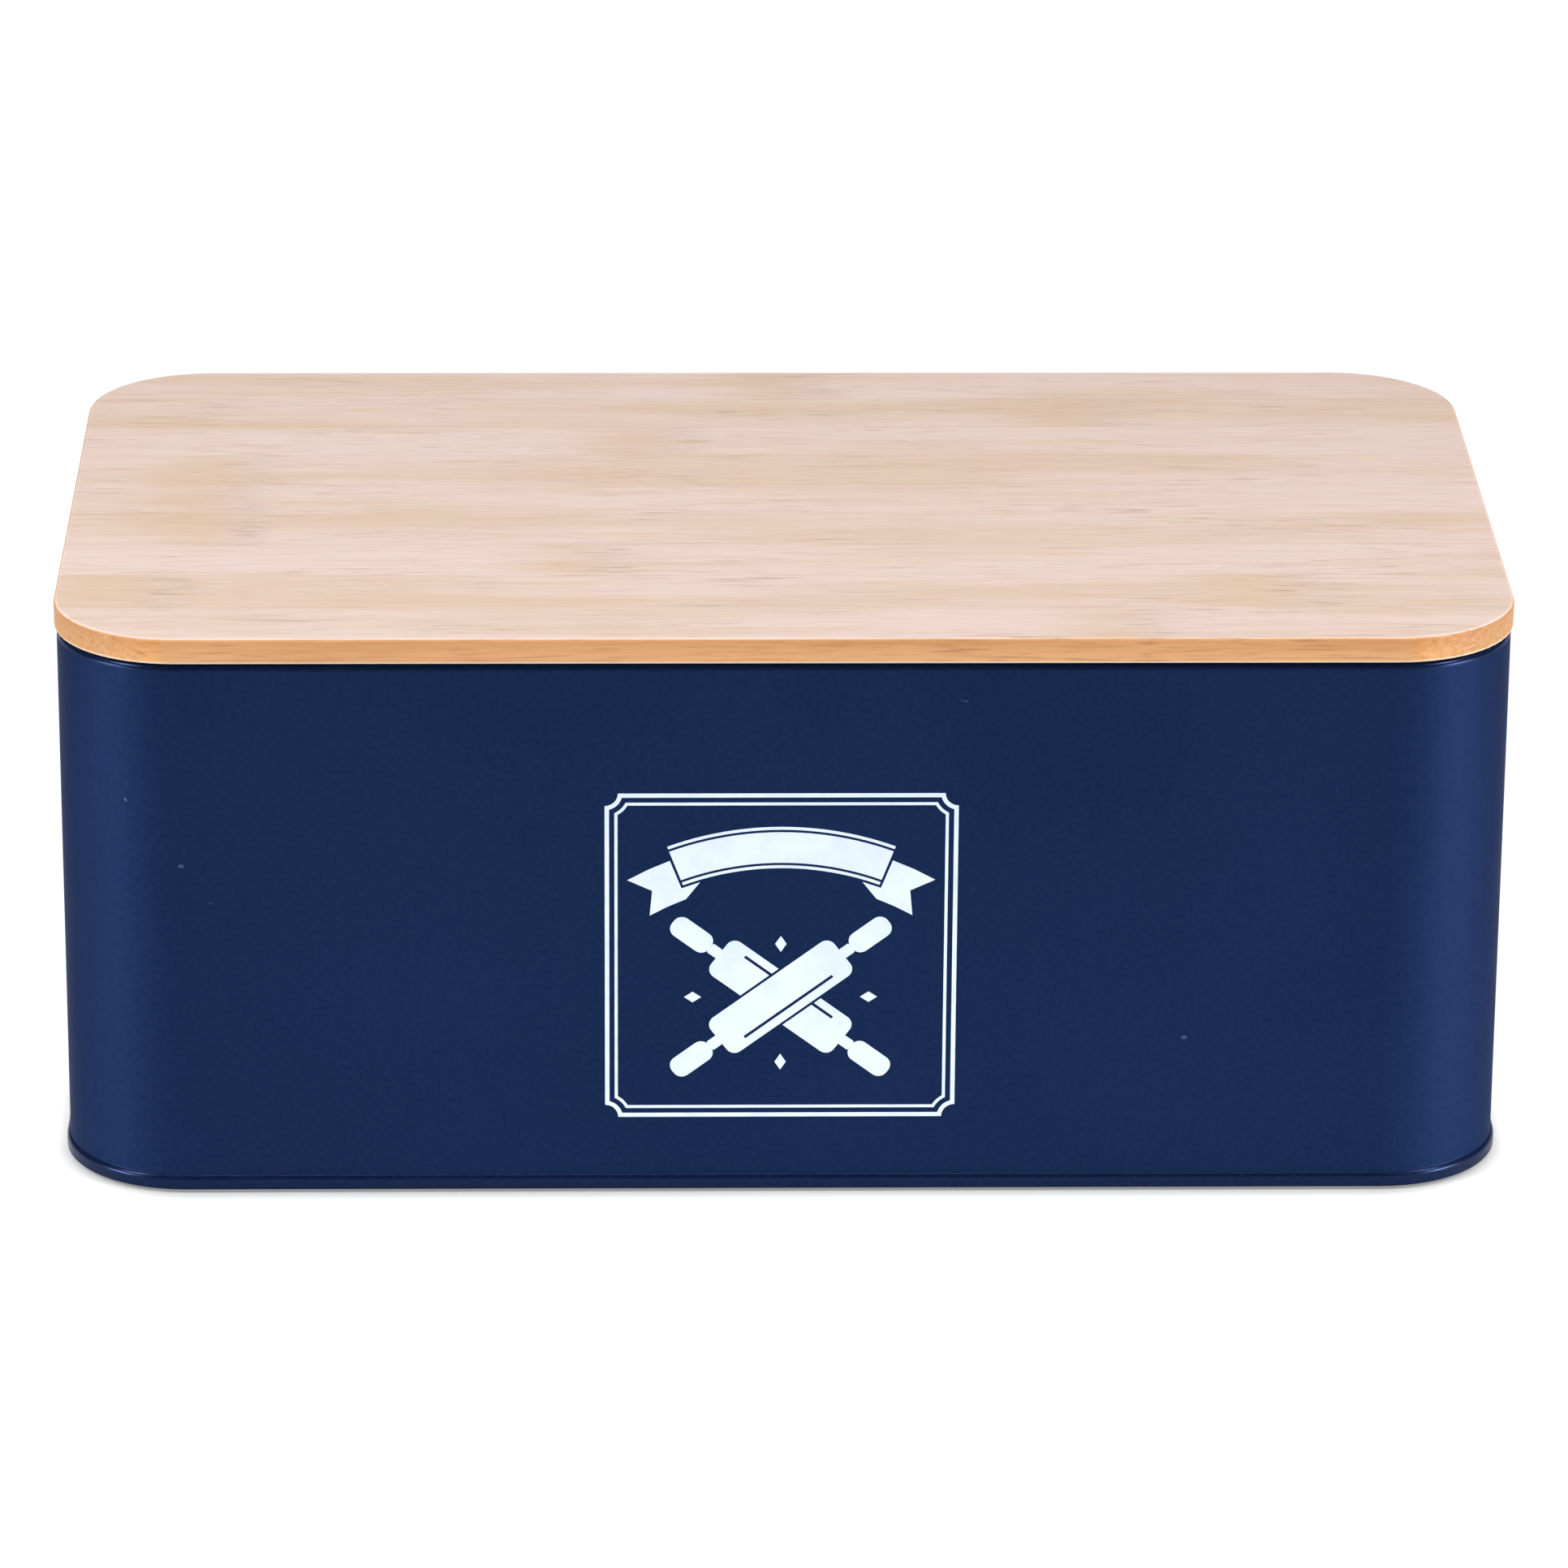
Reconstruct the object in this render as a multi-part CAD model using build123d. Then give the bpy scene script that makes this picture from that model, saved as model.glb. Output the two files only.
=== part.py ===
from build123d import *

import os
from math import cos, radians, sin, sqrt

# Bread box: a folded and seamed tinplate box with a lift-off lid of laminated bamboo.
# Frame: origin on the counter under the middle of the box, +X to the right along the front,
# +Y to the back, +Z up. Lengths are in millimetres and angles in degrees.

# The box as a whole
BOX_LENGTH = 330.0  # outside of the wall, left to right
BOX_DEPTH = 190.0  # outside of the wall, front to back
CORNER_RADIUS = 28.0  # outside of the wall, seen from above
RIM_HEIGHT = 127.85  # from the underside of the hem to the crest of the rim
SHEET = 0.3  # tinplate

# Rim, rolled inward from the top of the wall
ROLL_RADIUS = 1.6  # outside of the roll
ROLL_TURN = 290.0

# Bead round the foot of the wall, hemmed inward under the base, with bends on the middle of the sheet
BEAD_PROUD = 0.78  # past the outside of the wall
BEAD_FACE = 1.75  # upright run between its shoulder and its hem
SHOULDER_LEAN = 58.0  # of the sheet where the shoulder meets the neck, from upright
NECK_BEND = 0.4  # from the wall to the shoulder
HEM_BEND = 0.45  # from the face to the hem
SEAM_GAP = 0.05  # between two folded layers

# Base panel, held by its upturned edge between the hem and the bead, with a raised field that stiffens it
PANEL_RECESS = 1.4  # from the underside of the hem to the middle of the sheet
PANEL_BEND = 0.6  # bend from the panel up to its edge, on the middle of the sheet
PANEL_BORDER = 2.0  # flat run beside that bend
FIELD_INSET = 21.0  # from the outside of the wall to the foot of the field
FIELD_CORNER = 10.0
FIELD_RAISE = 1.5
FIELD_SLOPE = 45.0  # of the field's flanks, from upright

# Grooved lock seam that closes the wall sheet at the middle of the back
LOCK_WIDTH = 5.0  # between the centres of its two folds
LOCK_GROOVE = 0.3  # beside the outer fold
LOCK_MARGIN = 2.0  # plain wall above and below the folds, beside them too
JOG_TURN = 60.0
JOG_BEND = 0.4  # on the middle of the sheet
BUTT_GAP = 0.1  # where the sheet's ends meet in the rim and in the bead

# Silicone pads glued under the corners of the base
PAD_RADIUS = 5.0
PAD_PROUD = 0.75  # stands below the hem
PAD_ROUND = 0.8

# Lid: an upper ply that lies on the rim and a plug ply that drops inside it
LID_OVERHANG = 0.5  # past the outside of the wall
LID_REST_GAP = 0.3  # between the rim's crest and the upper ply
UPPER_THICKNESS = 6.0
UPPER_SLATS = 9
TOP_ROUND = 0.8
LIP_ROUND = 0.5
PLUG_THICKNESS = 6.0
PLUG_SLATS = 8
PLUG_CLEARANCE = 1.2  # to the inside of the roll
PLUG_CHAMFER = 1.0

OVERRUN = 2.0  # how far a cutting tool passes the face that it cuts

# Places worked out from those sizes
LAYER = SHEET + SEAM_GAP
RIM_CREST = PAD_PROUD + RIM_HEIGHT
ROLL_CENTRE = RIM_CREST - ROLL_RADIUS
LEAN_UP_SHARE = sin(radians(SHOULDER_LEAN))  # of a bend's radius, its rise from upright to the lean
LEAN_OUT_SHARE = 1 - cos(radians(SHOULDER_LEAN))  # and its step outward
SHOULDER_BEND = BEAD_PROUD / LEAN_OUT_SHARE - NECK_BEND  # on the middle of the sheet
SHOULDER_INSET = SHEET / 2 + SHOULDER_BEND - BEAD_PROUD  # from the wall's outside in to its centre
HEM_CENTRE = PAD_PROUD + SHEET / 2 + HEM_BEND
HEM_INSET = SHEET / 2 + 2 * HEM_BEND - BEAD_PROUD  # from the wall's outside in to the hem's upright end
FACE_TOP = HEM_CENTRE + BEAD_FACE
BEAD_TOP = FACE_TOP + (SHOULDER_BEND + NECK_BEND) * LEAN_UP_SHARE
PANEL_LEVEL = PAD_PROUD + PANEL_RECESS
HEM_END = PANEL_LEVEL - SHEET / 2 - SEAM_GAP
PANEL_EDGE = SHEET / 2 + PANEL_BEND + PANEL_BORDER  # inward of the wall's outside
EDGE_TOP = FACE_TOP + sqrt((SHOULDER_BEND - SHEET / 2 - SEAM_GAP) ** 2 - SHOULDER_INSET**2)  # under the neck
LIP_LEVEL = RIM_CREST + LID_REST_GAP
DIAGONAL_SHARE = 1 - 1 / sqrt(2)  # of a corner's radius, from its square corner to its middle, on each axis


def folded_sheet(start, heading, moves):
    """Section of a sheet whose middle line starts at a point and follows runs and bends.

    A move is the length of a run, or the radius and the turn of a bend, with left turns positive.
    """
    half = SHEET / 2
    point = Vector(*start)
    left, right = [], []
    for move in moves:
        aside = Vector(0, 1).rotate(Axis.Z, heading)
        if isinstance(move, tuple):
            radius, turn = move
            side = 1 if turn > 0 else -1
            centre = point + aside * radius * side
            first = heading - 90 * side
            left.append(CenterArc(centre, radius - half * side, first, turn))
            right.append(CenterArc(centre, radius + half * side, first, turn))
            heading += turn
            point = centre - aside.rotate(Axis.Z, turn) * radius * side
        else:
            finish = point + Vector(1, 0).rotate(Axis.Z, heading) * move
            left.append(Line(point + aside * half, finish + aside * half))
            right.append(Line(point - aside * half, finish - aside * half))
            point = finish
    ends = [Line(left[0] @ 0, right[0] @ 0), Line(left[-1] @ 1, right[-1] @ 1)]
    return make_face([*left, *right, *ends])


def carry_round(section):
    """Carries a section round the box. Its X runs outward from the outside of the wall, its Y is height."""
    centre_x = BOX_LENGTH / 2 - CORNER_RADIUS
    centre_y = BOX_DEPTH / 2 - CORNER_RADIUS
    outward = Pos(CORNER_RADIUS, 0) * section
    on_side = Plane((centre_x, centre_y, 0), x_dir=(1, 0, 0), z_dir=(0, -1, 0)) * outward
    on_back = Plane((centre_x, centre_y, 0), x_dir=(0, 1, 0), z_dir=(1, 0, 0)) * outward
    side_run = extrude(on_side, amount=centre_y, dir=(0, -1, 0))
    back_run = extrude(on_back, amount=centre_x, dir=(-1, 0, 0))
    corner = revolve(on_side, axis=Axis((centre_x, centre_y, 0), (0, 0, 1)), revolution_arc=90)
    quarter = side_run + corner + back_run
    half = quarter + mirror(quarter, about=Plane.YZ)
    return half + mirror(half, about=Plane.XZ)


def outline(inset):
    """The box's outline from above, moved inward from the outside of the wall."""
    return RectangleRounded(BOX_LENGTH - 2 * inset, BOX_DEPTH - 2 * inset, CORNER_RADIUS - inset)


def lock_seam(low, high):
    """The two hooked ends of the wall sheet, interlocked, how far they reach and where their groove lies.

    In their sections X runs along the back wall, and Y is outward from the outside of the wall.
    """
    fold = LOCK_WIDTH / 2
    hook = LOCK_WIDTH - SEAM_GAP
    jog_depth = 3 * LAYER
    jog_slant = (jog_depth - 2 * JOG_BEND * (1 - cos(radians(JOG_TURN)))) / sin(radians(JOG_TURN))
    jog_span = 2 * JOG_BEND * sin(radians(JOG_TURN)) + jog_slant * cos(radians(JOG_TURN))
    jog_end = fold + LAYER + SHEET / 2 + LOCK_GROOVE
    reach = jog_end + jog_span + LOCK_MARGIN
    outer_end = folded_sheet((-reach, -SHEET / 2), 0, [reach + fold, (LAYER, -180), hook])
    jog = [(JOG_BEND, JOG_TURN), jog_slant, (JOG_BEND, -JOG_TURN)]
    inner_end = folded_sheet(
        (reach, -SHEET / 2), 180, [LOCK_MARGIN, *jog, jog_end + fold, (LAYER, -180), hook]
    )
    at_back = Pos(0, BOX_DEPTH / 2, low)
    hooks = [extrude(at_back * end, amount=high - low, dir=(0, 0, 1)) for end in (outer_end, inner_end)]
    butt = jog_end - LOCK_GROOVE / 2
    return hooks, reach, butt


def wall_sheet():
    """The wall: one strip, hemmed and beaded at the foot, rolled inward at the top, locked at the back."""
    section = folded_sheet(
        (-HEM_INSET, HEM_END),
        -90,
        [
            HEM_END - HEM_CENTRE,
            (HEM_BEND, 180),
            BEAD_FACE,
            (SHOULDER_BEND, SHOULDER_LEAN),
            (NECK_BEND, -SHOULDER_LEAN),
            ROLL_CENTRE - BEAD_TOP,
            (ROLL_RADIUS - SHEET / 2, ROLL_TURN),
        ],
    )
    strip = carry_round(section)
    low = BEAD_TOP + LOCK_MARGIN
    high = RIM_CREST - 2 * ROLL_RADIUS - LOCK_MARGIN
    hooks, reach, butt = lock_seam(low, high)
    through = 2 * (ROLL_RADIUS + OVERRUN)
    from_low = (Align.CENTER, Align.CENTER, Align.MIN)
    window = Pos(0, BOX_DEPTH / 2, low) * Box(2 * reach, through, high - low, align=from_low)
    slit = Pos(butt, BOX_DEPTH / 2, 0) * Box(BUTT_GAP, 2 * through, RIM_CREST + OVERRUN, align=from_low)
    return strip - window - slit + hooks


def base_panel():
    """The base: a pressed panel with a raised field, its edge turned up inside the bead, under the wall."""
    turned_up = [PANEL_BORDER, (PANEL_BEND, 90), EDGE_TOP - PANEL_LEVEL - PANEL_BEND]
    edge = carry_round(folded_sheet((-PANEL_EDGE, PANEL_LEVEL), 0, turned_up))
    plate = extrude(Pos(0, 0, PANEL_LEVEL - SHEET / 2) * outline(PANEL_EDGE), amount=SHEET)
    foot = RectangleRounded(BOX_LENGTH - 2 * FIELD_INSET, BOX_DEPTH - 2 * FIELD_INSET, FIELD_CORNER)
    field = extrude(Pos(0, 0, PANEL_LEVEL + SHEET / 2) * foot, amount=FIELD_RAISE, taper=FIELD_SLOPE)
    lower = extrude(Pos(0, 0, PANEL_LEVEL - SHEET / 2) * foot, amount=FIELD_RAISE, taper=FIELD_SLOPE)
    return edge + (plate + field - lower)


def pad():
    """One pad, standing on the origin, as tall as the space under the border of the base."""
    height = PANEL_LEVEL - SHEET / 2
    disc = Cylinder(PAD_RADIUS, height, align=(Align.CENTER, Align.CENTER, Align.MIN))
    return fillet(disc.edges().sort_by(Axis.Z)[0], PAD_ROUND)


def pads():
    """The four pads by name, each in the middle of the base's border, on the diagonal of its corner."""
    inset = (FIELD_INSET + (FIELD_CORNER + CORNER_RADIUS) * DIAGONAL_SHARE) / 2
    across, along = BOX_LENGTH / 2 - inset, BOX_DEPTH / 2 - inset
    named = {}
    for end, y in (("front", -along), ("rear", along)):
        for side, x in (("left", -across), ("right", across)):
            named[f"pad_{end}_{side}"] = Pos(x, y, 0) * pad()
    return named


def slats(board, count, name):
    """A board cut into glued slats of one width along its length, by name, from front to back."""
    box = board.bounding_box()
    width = box.size.Y / count
    named = {}
    for place in range(count):
        middle = box.min.Y + (place + 1 / 2) * width
        strip = Pos(0, middle, box.center().Z) * Box(box.size.X + OVERRUN, width, box.size.Z + OVERRUN)
        named[f"{name}_slat_{place + 1}"] = board & strip
    return named


def upper_ply():
    """The upper board of the lid, with its edges eased."""
    board = extrude(Pos(0, 0, LIP_LEVEL) * outline(-LID_OVERHANG), amount=UPPER_THICKNESS)
    board = fillet(board.faces().sort_by(Axis.Z)[-1].edges(), TOP_ROUND)
    return fillet(board.faces().sort_by(Axis.Z)[0].edges(), LIP_ROUND)


def plug_ply():
    """The lower board of the lid, which keeps the lid in its place on the rim."""
    plan = outline(2 * ROLL_RADIUS + PLUG_CLEARANCE)
    board = extrude(Pos(0, 0, LIP_LEVEL - PLUG_THICKNESS) * plan, amount=PLUG_THICKNESS)
    return chamfer(board.faces().sort_by(Axis.Z)[0].edges(), PLUG_CHAMFER)


def pieces():
    """Every piece of the box and its lid, by the name of its node."""
    return {
        "wall_sheet": wall_sheet(),
        "base_panel": base_panel(),
        **pads(),
        **slats(upper_ply(), UPPER_SLATS, "lid_upper"),
        **slats(plug_ply(), PLUG_SLATS, "lid_plug"),
    }


os.makedirs("parts", exist_ok=True)
for node, shape in pieces().items():
    export_step(shape, f"parts/{node}.step")
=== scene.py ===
import logging
import math
from abc import ABC, abstractmethod
from dataclasses import dataclass, field
from enum import Enum
from typing import Sequence

import bmesh
import bpy
from mathutils import Matrix, Vector


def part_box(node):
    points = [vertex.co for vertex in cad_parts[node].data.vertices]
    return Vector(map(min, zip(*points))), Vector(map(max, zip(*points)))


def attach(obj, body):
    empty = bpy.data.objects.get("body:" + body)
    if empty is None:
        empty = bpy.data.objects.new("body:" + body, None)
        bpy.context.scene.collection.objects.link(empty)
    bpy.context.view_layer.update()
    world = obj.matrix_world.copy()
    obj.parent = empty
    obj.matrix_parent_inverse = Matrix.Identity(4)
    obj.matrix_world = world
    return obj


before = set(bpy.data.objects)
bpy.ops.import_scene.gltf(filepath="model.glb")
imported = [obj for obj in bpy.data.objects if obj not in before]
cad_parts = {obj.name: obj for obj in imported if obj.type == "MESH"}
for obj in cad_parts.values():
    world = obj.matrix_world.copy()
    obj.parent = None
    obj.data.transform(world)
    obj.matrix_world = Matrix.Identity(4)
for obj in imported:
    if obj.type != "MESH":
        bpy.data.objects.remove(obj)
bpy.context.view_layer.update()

# Bread box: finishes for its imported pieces, the print on its front wall, and a plain white studio.
# Lengths are in metres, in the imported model's own frame: +X right along the front, +Y back, +Z up.

MM = 0.001
PHOTO_SIZE = 1932  # pixels on each side
SENSOR = 36.0  # millimetres, the camera's own unit
PEEL_SCALE = 820  # the coat's orange peel, in cells to the metre; the ink on it shows it too
PEEL_HEIGHT = 0.03 * MM
PEEL_STRENGTH = 0.25
ROUND_STEPS = 6  # steps in each rounded corner of the print

log = logging.getLogger("bread_box")

Colour = tuple[float, float, float, float]
Socket = bpy.types.NodeSocket
Value = float | Sequence[float] | Socket


def srgb(red: int, green: int, blue: int) -> Colour:
    """Turns a colour as it is seen on screen into the linear colour that a shader takes.

    Args:
        red: Red from 0 to 255.
        green: Green from 0 to 255.
        blue: Blue from 0 to 255.

    Returns:
        The linear colour with full alpha.
    """
    parts = [channel / 255 for channel in (red, green, blue)]
    linear = [part / 12.92 if part <= 0.04045 else ((part + 0.055) / 1.055) ** 2.4 for part in parts]
    return (*linear, 1.0)


class Body(Enum):
    """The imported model's two rigid bodies."""

    BOX = "box"
    LID = "lid"


class Slot(Enum):
    """The record's material slots."""

    COAT = "navy_coat"
    UPPER = "bamboo_upper"
    PLUG = "bamboo_plug"
    PADS = "silicone"


class NodeSheet:
    """A material's node tree, with a short method for each kind of node that the finishes use."""

    def __init__(self, name: str) -> None:
        """Makes an empty material.

        Args:
            name: The material's name.
        """
        self.material = bpy.data.materials.new(name)
        self.material.use_nodes = True
        self.tree = self.material.node_tree
        self.tree.nodes.clear()

    def add(self, kind: str, inputs: dict[int | str, Value], **settings: object) -> bpy.types.Node:
        """Adds a node, and sets or links its inputs.

        Args:
            kind: The node's type name, without its common first part.
            inputs: Input sockets by name or place, each with a value or the socket that feeds it.
            **settings: The node's own properties.

        Returns:
            The new node.
        """
        node = self.tree.nodes.new("ShaderNode" + kind)
        for name, setting in settings.items():
            setattr(node, name, setting)
        for name, value in inputs.items():
            if isinstance(value, Socket):
                self.tree.links.new(value, node.inputs[name])
            else:
                node.inputs[name].default_value = value
        return node

    def place(self) -> Socket:
        """The point on the piece, in the model's frame."""
        return self.add("TexCoord", {}).outputs["Object"]

    def facing(self) -> Socket:
        """The direction that the surface faces, in the model's frame."""
        return self.add("TexCoord", {}).outputs["Normal"]

    def axis(self, vector: Socket, letter: str) -> Socket:
        """One of a vector's three parts."""
        return self.add("SeparateXYZ", {0: vector}).outputs[letter]

    def math(self, operation: str, first: Value, second: Value = 0.0) -> Socket:
        """One sum, such as ADD or MULTIPLY, on two numbers."""
        return self.add("Math", {0: first, 1: second}, operation=operation).outputs[0]

    def stretch(self, vector: Socket, scale: Sequence[float], shift: Sequence[float] = (0, 0, 0)) -> Socket:
        """A vector times a scale on each axis, plus a shift."""
        inputs = {0: vector, 1: scale, 2: shift}
        return self.add("VectorMath", inputs, operation="MULTIPLY_ADD").outputs[0]

    def noise(
        self, vector: Socket, scale: float = 1.0, detail: float = 2.0, roughness: float = 0.5
    ) -> Socket:
        """Cloudy noise about one half.

        Args:
            vector: Where the noise is read.
            scale: Cells to the unit.
            detail: Octaves of finer noise.
            roughness: Weight of those octaves.

        Returns:
            The noise's value.
        """
        inputs = {"Vector": vector, "Scale": scale, "Detail": detail, "Roughness": roughness}
        return self.add("TexNoise", inputs, noise_dimensions="3D").outputs["Fac"]

    def span(self, value: Socket, low: float, high: float, start: float = 0.0, end: float = 1.0) -> Socket:
        """Maps a range of values smoothly to another, and holds it at both ends.

        Args:
            value: The value to map.
            low: Where the new range starts.
            high: Where the new range ends.
            start: The result at low.
            end: The result at high.

        Returns:
            The mapped value.
        """
        inputs = {"Value": value, "From Min": low, "From Max": high, "To Min": start, "To Max": end}
        return self.add("MapRange", inputs, interpolation_type="SMOOTHSTEP").outputs[0]

    def mix(self, share: Value, first: Value, second: Value) -> Socket:
        """A colour between two, by the share of the second."""
        inputs = {0: share, 6: first, 7: second}
        return self.add("Mix", inputs, data_type="RGBA").outputs[2]

    def bump(self, height: Socket, distance: float, strength: float) -> Socket:
        """A normal that follows a height of so many metres."""
        return self.add("Bump", {"Height": height, "Distance": distance, "Strength": strength}).outputs[0]

    def surface(self, inputs: dict[int | str, Value]) -> bpy.types.Material:
        """Closes the tree with one principled surface.

        Args:
            inputs: The surface's own inputs.

        Returns:
            The finished material.
        """
        shader = self.add("BsdfPrincipled", inputs)
        self.add("OutputMaterial", {"Surface": shader.outputs[0]})
        return self.material


@dataclass(frozen=True)
class Finish(ABC):
    """A finish that makes its own material."""

    name: str

    @abstractmethod
    def material(self) -> bpy.types.Material:
        """Makes the material."""

    def dress(self, piece: bpy.types.Object) -> None:
        """Gives a piece this finish, in place of what it had.

        Args:
            piece: The piece to finish.
        """
        made = bpy.data.materials.get(self.name) or self.material()
        piece.data.materials.clear()
        piece.data.materials.append(made)


@dataclass(frozen=True)
class NavyCoat(Finish):
    """Satin navy coat, sprayed and baked on tinplate: fine orange peel, faint clouds and specks of dust.

    On the folds, the bead at the foot and the roll at the rim, it is smoother and less metallic, and its
    colour is darkened there as painted shade.
    """

    name: str = "sprayed_navy"
    deep: Colour = srgb(12, 32, 68)
    clear: Colour = srgb(17, 37, 74)
    dust: Colour = srgb(80, 96, 130)
    edge_tint: Colour = srgb(165, 172, 190)
    metallic: float = 0.72
    gloss: float = 0.36
    roughness: float = 0.56
    fold_shade_tone: Colour = srgb(9, 25, 58)
    fold_metallic: float = 0.42
    fold_roughness: float = 0.27
    bead_level: float = 4.4 * MM
    rim_level: float = 127.1 * MM
    fold_blend: float = 0.4 * MM
    cloud_scale: float = 16
    speck_scale: float = 330

    def material(self) -> bpy.types.Material:
        """Makes the coat.

        Returns:
            The new material.
        """
        sheet = NodeSheet(self.name)
        place = sheet.place()
        clouds = sheet.noise(place, self.cloud_scale, detail=3)
        peel = sheet.noise(place, PEEL_SCALE)
        specks = sheet.span(sheet.noise(place, self.speck_scale, detail=0), 0.90, 0.94)
        up = sheet.axis(place, "Z")
        blend = self.fold_blend
        bead = sheet.span(up, self.bead_level - blend, self.bead_level + blend, 1.0, 0.0)
        rim = sheet.span(up, self.rim_level - blend, self.rim_level + blend)
        folds = sheet.math("MAXIMUM", bead, rim)
        tone = sheet.mix(sheet.span(clouds, 0.2, 0.8), self.deep, self.clear)
        # painted shade: the coat's colour is darkened on the bead at the foot and on the rim roll under the
        # lid
        tone = sheet.mix(folds, tone, self.fold_shade_tone)
        grain = sheet.mix(sheet.span(peel, 0.3, 0.7, 0.0, 0.03), tone, self.dust)
        colour = sheet.mix(sheet.math("MULTIPLY", specks, 0.6), grain, self.dust)
        rough = sheet.span(clouds, 0.3, 0.7, self.roughness - 0.04, self.roughness + 0.05)
        smoother = sheet.math("MULTIPLY", folds, self.roughness - self.fold_roughness)
        duller = sheet.math("MULTIPLY", folds, self.metallic - self.fold_metallic)
        return sheet.surface(
            {
                "Base Color": colour,
                "Metallic": sheet.math("SUBTRACT", self.metallic, duller),
                "Roughness": sheet.math("SUBTRACT", rough, smoother),
                "Specular IOR Level": self.gloss,
                "Specular Tint": self.edge_tint,
                "Normal": sheet.bump(peel, PEEL_HEIGHT, PEEL_STRENGTH),
            }
        )


@dataclass(frozen=True)
class PrintInk(Finish):
    """Pale screen ink, slightly uneven, with the coat's grain showing in it."""

    name: str = "print_ink"
    full: Colour = srgb(217, 229, 248)
    thin: Colour = srgb(207, 220, 244)
    cover_scale: float = 140
    gloss: float = 0.2

    def material(self) -> bpy.types.Material:
        """Makes the ink.

        Returns:
            The new material.
        """
        sheet = NodeSheet(self.name)
        place = sheet.place()
        cover = sheet.noise(place, self.cover_scale, detail=4, roughness=0.6)
        peel = sheet.noise(place, PEEL_SCALE)
        return sheet.surface(
            {
                "Base Color": sheet.mix(sheet.span(cover, 0.35, 0.7), self.full, self.thin),
                "Roughness": sheet.span(cover, 0.3, 0.7, 0.42, 0.56),
                "Specular IOR Level": self.gloss,
                "Normal": sheet.bump(peel, PEEL_HEIGHT, PEEL_STRENGTH),
            }
        )


@dataclass(frozen=True)
class PadSilicone(Finish):
    """Grey silicone with a fine moulded matt skin."""

    name: str = "moulded_silicone"
    pale: Colour = srgb(168, 170, 172)
    dark: Colour = srgb(148, 150, 153)
    skin_scale: float = 2600
    skin_height: float = 0.02 * MM
    cloud_scale: float = 180

    def material(self) -> bpy.types.Material:
        """Makes the silicone.

        Returns:
            The new material.
        """
        sheet = NodeSheet(self.name)
        place = sheet.place()
        skin = sheet.noise(place, self.skin_scale)
        clouds = sheet.noise(place, self.cloud_scale)
        return sheet.surface(
            {
                "Base Color": sheet.mix(clouds, self.pale, self.dark),
                "Roughness": sheet.span(skin, 0.3, 0.7, 0.55, 0.7),
                "Normal": sheet.bump(skin, self.skin_height, 0.4),
            }
        )


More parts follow.
